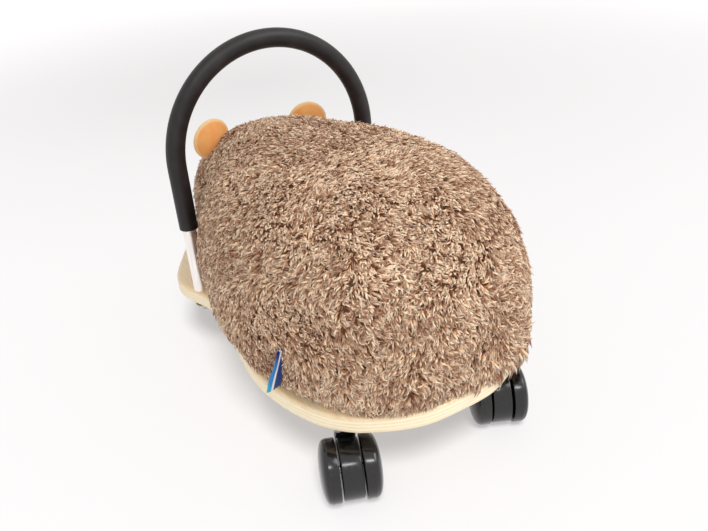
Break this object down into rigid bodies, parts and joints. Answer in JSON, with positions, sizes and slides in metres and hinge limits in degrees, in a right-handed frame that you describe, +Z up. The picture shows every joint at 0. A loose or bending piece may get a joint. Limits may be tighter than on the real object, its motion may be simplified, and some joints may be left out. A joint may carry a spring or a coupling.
{
  "type": "plush ride-on animal",
  "caption": "Child's ride-on toy: a shaggy stuffed animal on a shaped wooden board, with a bent tube handle and swivel casters.",
  "frame": {"origin": "on the floor, under the middle of the whole object's box", "axes": "the animal faces -Y, its left side is +X, +Z is up"},
  "size_m": [0.2434, 0.453, 0.3087],
  "materials": {
    "board_wood": "satin",
    "brown_fur": "matte",
    "foam": "matte",
    "orange_velour": "matte",
    "cream_velour": "matte",
    "gloss_black": "gloss",
    "blue_ribbon": "satin",
    "silver_tube": "satin",
    "black_grip": "satin",
    "zinc_steel": "satin",
    "black_plastic": "gloss"
  },
  "bodies": {
    "body": {"base_board": "board_wood", "plush_cover": "brown_fur", "foam_core": "foam", "ear_left": "orange_velour", "ear_right": "orange_velour", "muzzle": "cream_velour", "nose": "gloss_black", "eye_left": "gloss_black", "eye_right": "gloss_black", "label_tab": "blue_ribbon", "handle_tube": "silver_tube", "handle_grip": "black_grip", "handle_insert_left": "zinc_steel", "handle_insert_right": "zinc_steel", "handle_bolt_left": "zinc_steel", "handle_bolt_right": "zinc_steel", "handle_washer_left": "zinc_steel", "handle_washer_right": "zinc_steel", "caster_rear_left_plate": "zinc_steel", "caster_rear_left_kingpin": "zinc_steel", "caster_rear_left_screw_1": "zinc_steel", "caster_rear_left_screw_2": "zinc_steel", "caster_rear_left_screw_3": "zinc_steel", "caster_rear_left_screw_4": "zinc_steel", "caster_rear_right_plate": "zinc_steel", "caster_rear_right_kingpin": "zinc_steel", "caster_rear_right_screw_1": "zinc_steel", "caster_rear_right_screw_2": "zinc_steel", "caster_rear_right_screw_3": "zinc_steel", "caster_rear_right_screw_4": "zinc_steel", "caster_front_left_plate": "zinc_steel", "caster_front_left_kingpin": "zinc_steel", "caster_front_left_screw_1": "zinc_steel", "caster_front_left_screw_2": "zinc_steel", "caster_front_left_screw_3": "zinc_steel", "caster_front_left_screw_4": "zinc_steel", "caster_front_right_plate": "zinc_steel", "caster_front_right_kingpin": "zinc_steel", "caster_front_right_screw_1": "zinc_steel", "caster_front_right_screw_2": "zinc_steel", "caster_front_right_screw_3": "zinc_steel", "caster_front_right_screw_4": "zinc_steel"},
    "rear_left_hood": {"caster_rear_left_hood": "black_plastic", "caster_rear_left_axle": "zinc_steel"},
    "rear_left_wheel_left": {"caster_rear_left_wheel_left": "black_plastic"},
    "rear_left_wheel_right": {"caster_rear_left_wheel_right": "black_plastic"},
    "rear_right_hood": {"caster_rear_right_hood": "black_plastic", "caster_rear_right_axle": "zinc_steel"},
    "rear_right_wheel_left": {"caster_rear_right_wheel_left": "black_plastic"},
    "rear_right_wheel_right": {"caster_rear_right_wheel_right": "black_plastic"},
    "front_left_hood": {"caster_front_left_hood": "black_plastic", "caster_front_left_axle": "zinc_steel"},
    "front_left_wheel_left": {"caster_front_left_wheel_left": "black_plastic"},
    "front_left_wheel_right": {"caster_front_left_wheel_right": "black_plastic"},
    "front_right_hood": {"caster_front_right_hood": "black_plastic", "caster_front_right_axle": "zinc_steel"},
    "front_right_wheel_left": {"caster_front_right_wheel_left": "black_plastic"},
    "front_right_wheel_right": {"caster_front_right_wheel_right": "black_plastic"}
  },
  "joints": [
    {"name": "rear_left_swivel", "type": "hinge", "parent": "body", "child": "rear_left_hood", "pos_m": [0.075, 0.169, 0.05], "axis": [0, 0, 1], "continuous": true},
    {"name": "rear_left_spin_left", "type": "hinge", "parent": "rear_left_hood", "child": "rear_left_wheel_left", "pos_m": [0.0836, 0.18925, 0.02469], "axis": [0.9205, -0.3907, 0], "continuous": true},
    {"name": "rear_left_spin_right", "type": "hinge", "parent": "rear_left_hood", "child": "rear_left_wheel_right", "pos_m": [0.0836, 0.18925, 0.02469], "axis": [0.9205, -0.3907, 0], "continuous": true},
    {"name": "rear_right_swivel", "type": "hinge", "parent": "body", "child": "rear_right_hood", "pos_m": [-0.075, 0.169, 0.05], "axis": [0, 0, 1], "continuous": true},
    {"name": "rear_right_spin_left", "type": "hinge", "parent": "rear_right_hood", "child": "rear_right_wheel_left", "pos_m": [-0.06467, 0.18842, 0.02469], "axis": [0.8829, -0.4695, 0], "continuous": true},
    {"name": "rear_right_spin_right", "type": "hinge", "parent": "rear_right_hood", "child": "rear_right_wheel_right", "pos_m": [-0.06467, 0.18842, 0.02469], "axis": [0.8829, -0.4695, 0], "continuous": true},
    {"name": "front_left_swivel", "type": "hinge", "parent": "body", "child": "front_left_hood", "pos_m": [0.052, -0.1365, 0.05], "axis": [0, 0, 1], "continuous": true},
    {"name": "front_left_spin_left", "type": "hinge", "parent": "front_left_hood", "child": "front_left_wheel_left", "pos_m": [0.0497, -0.11462, 0.02469], "axis": [0.9945, 0.1045, 0], "continuous": true},
    {"name": "front_left_spin_right", "type": "hinge", "parent": "front_left_hood", "child": "front_left_wheel_right", "pos_m": [0.0497, -0.11462, 0.02469], "axis": [0.9945, 0.1045, 0], "continuous": true},
    {"name": "front_right_swivel", "type": "hinge", "parent": "body", "child": "front_right_hood", "pos_m": [-0.052, -0.1365, 0.05], "axis": [0, 0, 1], "continuous": true},
    {"name": "front_right_spin_left", "type": "hinge", "parent": "front_right_hood", "child": "front_right_wheel_left", "pos_m": [-0.05582, -0.11483, 0.02469], "axis": [0.9848, 0.1736, 0], "continuous": true},
    {"name": "front_right_spin_right", "type": "hinge", "parent": "front_right_hood", "child": "front_right_wheel_right", "pos_m": [-0.05582, -0.11483, 0.02469], "axis": [0.9848, 0.1736, 0], "continuous": true}
  ]
}
